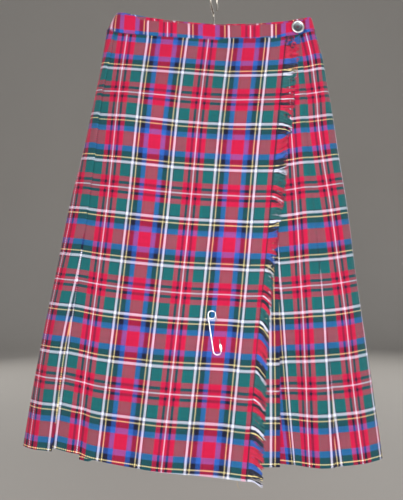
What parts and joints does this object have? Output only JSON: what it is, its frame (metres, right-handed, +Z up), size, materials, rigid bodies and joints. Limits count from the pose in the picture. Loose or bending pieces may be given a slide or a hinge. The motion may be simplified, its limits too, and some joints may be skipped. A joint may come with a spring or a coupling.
{
  "type": "tartan kilted skirt on a plain hanger",
  "caption": "Wrap-over knife-pleated tartan kilted skirt with a fringed apron edge, waistband, button and kilt pin, hung flat on a plain bar hanger by its hook.",
  "frame": {"origin": "the inner top of the hanger hook's loop, where a rail carries it", "axes": "+Z up, -Y out of the front apron towards the viewer, +X to the viewer's right"},
  "size_m": [0.5787, 0.0977, 0.8056],
  "materials": {
    "tartan_wool": "twill-woven worsted wool tartan in red, green, blue, black, yellow and white, matt",
    "fringe_yarn": "loose weft yarns in the tartan's colours",
    "button_metal": "silvery dished button with a bright rim and dark centre",
    "pin_steel": "bright plated sprung wire and folded sheet",
    "hanger_wood": "plain pale wood, satin varnish",
    "hook_steel": "plain bent steel wire"
  },
  "bodies": {
    "root": {"front_apron": "tartan_wool", "pleated_body": "tartan_wool", "under_apron": "tartan_wool", "waistband": "tartan_wool", "apron_fringe": "fringe_yarn", "waist_button": "button_metal", "kilt_pin": "pin_steel", "kilt_pin_hood": "pin_steel", "hanger_bar": "hanger_wood", "hanger_hook": "hook_steel"}
  },
  "joints": []
}
